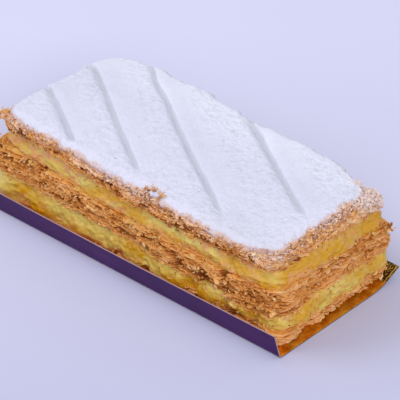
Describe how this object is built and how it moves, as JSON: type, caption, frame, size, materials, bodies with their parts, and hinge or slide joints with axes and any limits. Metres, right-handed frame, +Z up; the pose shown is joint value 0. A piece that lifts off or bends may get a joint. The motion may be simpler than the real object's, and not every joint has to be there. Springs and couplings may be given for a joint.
{
  "type": "mille feuille slice",
  "caption": "Rectangular slice of layered puff pastry and custard cream with a scored icing sugar top, lying in a folded card tray.",
  "frame": {"origin": "middle of the footprint of the whole, on the surface that the tray rests on", "axes": "+X along the length to the end with the crushed corner, +Y from the standing front flap to the pressed-out back flap, +Z up"},
  "size_m": [0.1388, 0.0682, 0.0406],
  "materials": {
    "card": "satin purple outside, foil gold inside",
    "pastry": "dry flaky baked puff pastry",
    "cream": "soft moist custard cream",
    "sugar": "matt packed icing sugar"
  },
  "bodies": {
    "root": {"card_tray": "card", "bottom_pastry": "pastry", "lower_cream": "cream", "middle_pastry": "pastry", "upper_cream": "cream", "top_pastry": "pastry", "icing_sugar": "sugar"}
  },
  "joints": []
}
